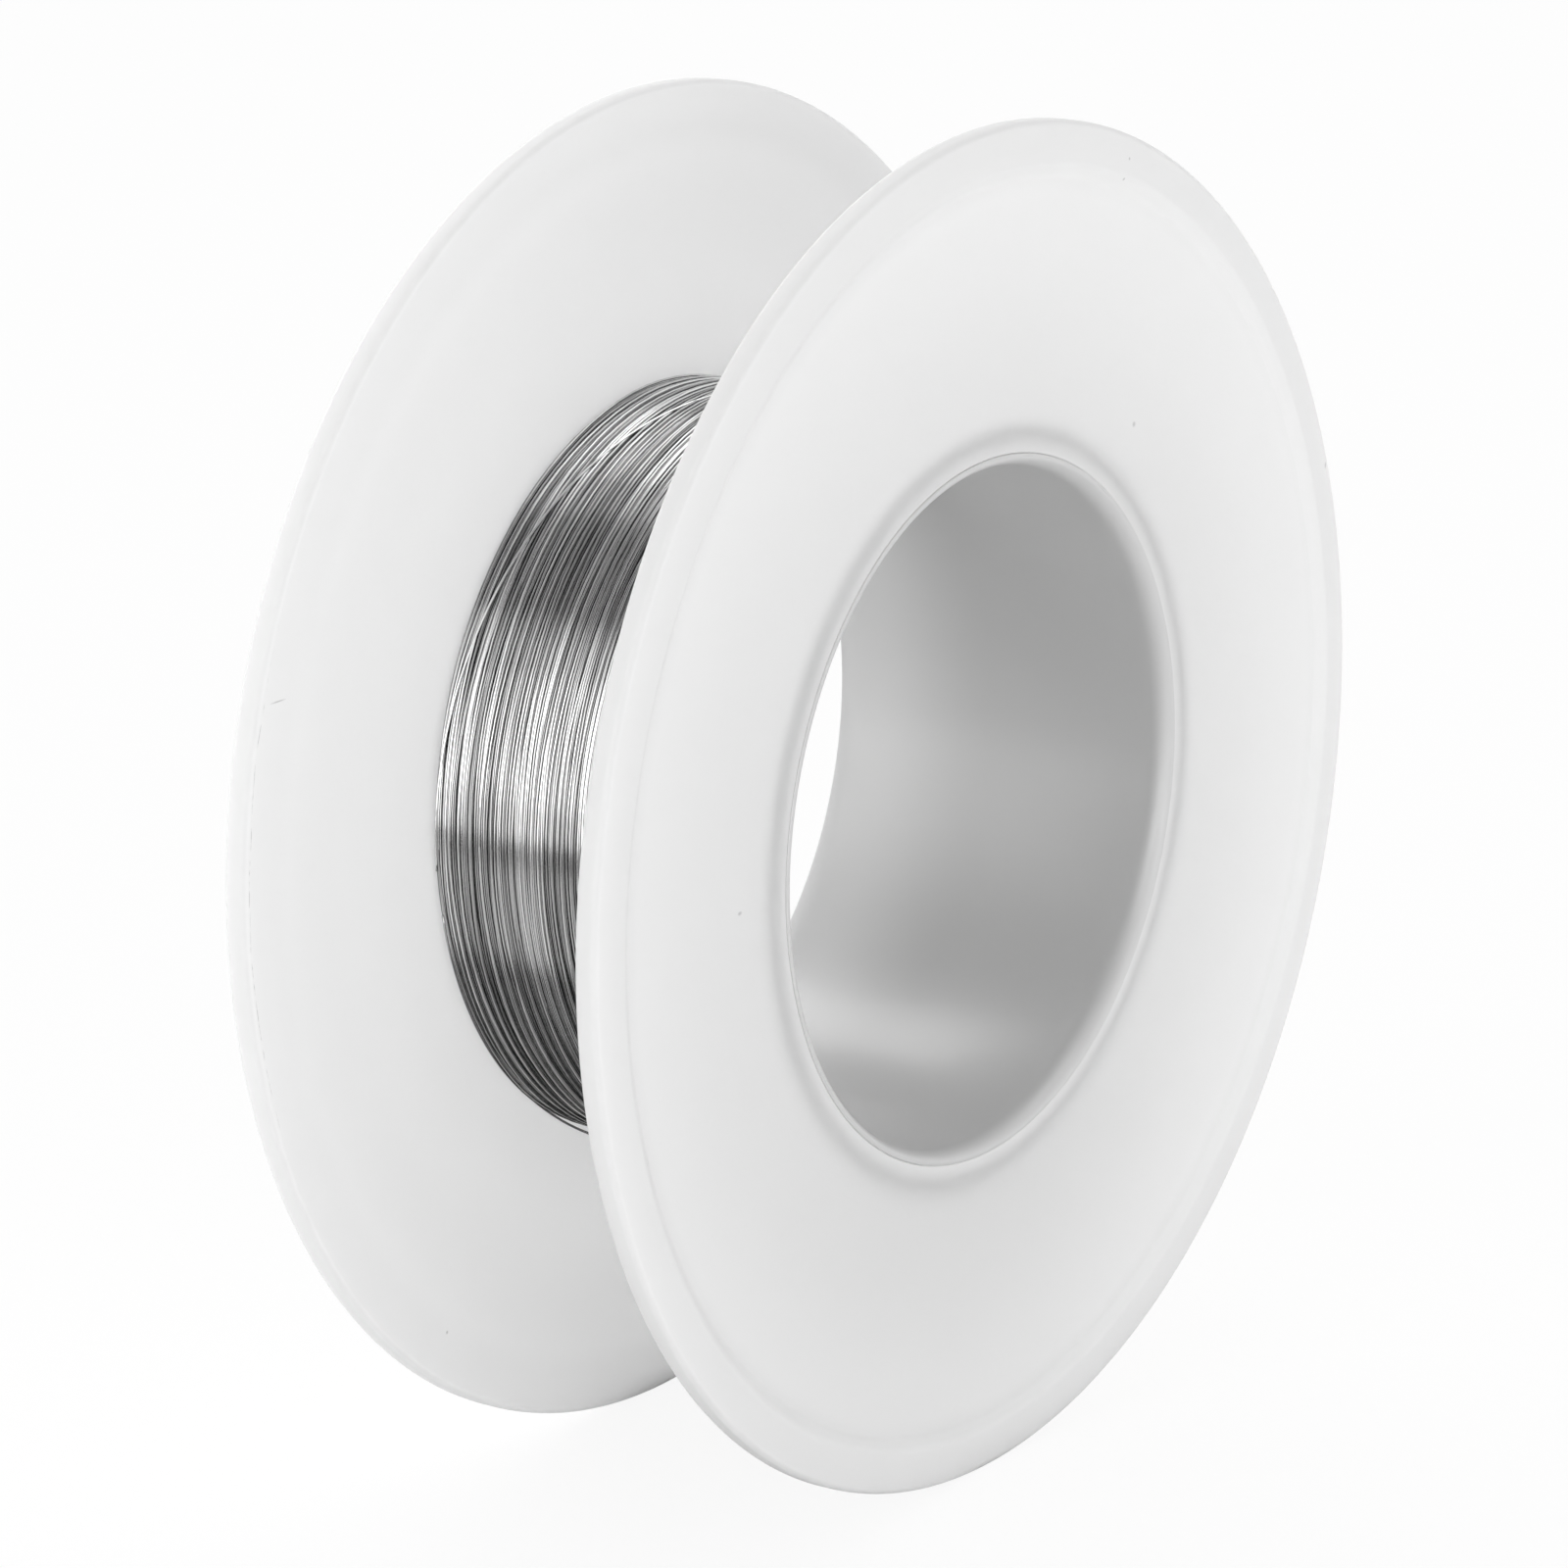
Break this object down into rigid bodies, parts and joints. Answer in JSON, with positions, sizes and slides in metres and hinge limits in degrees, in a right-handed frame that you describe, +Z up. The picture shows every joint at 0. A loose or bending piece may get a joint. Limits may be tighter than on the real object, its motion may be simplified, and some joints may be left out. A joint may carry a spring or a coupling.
{
  "type": "solder wire spool",
  "caption": "Small flanged plastic spool with a large plain bore, wound with very fine bright solder wire whose free end springs loose between the flanges.",
  "frame": {"origin": "middle of the bore, half way between the two flanges", "axes": "+Z up, +Y along the bore towards the rear flange, +X to the right seen from the front flange; the spool stands on its two rims"},
  "size_m": [0.05, 0.016, 0.05],
  "materials": {
    "flange_plastic": "milky white moulded plastic, satin, faint mould and handling marks",
    "tube_plastic": "milky white plastic tube, satin bore with fine turning marks",
    "solder": "bright drawn tin alloy wire, laid in fine side by side turns with a few strands crossing"
  },
  "bodies": {
    "root": {"hub_tube": "tube_plastic", "front_flange": "flange_plastic", "rear_flange": "flange_plastic", "wire_core": "solder", "wire_turns": "solder"}
  },
  "joints": []
}
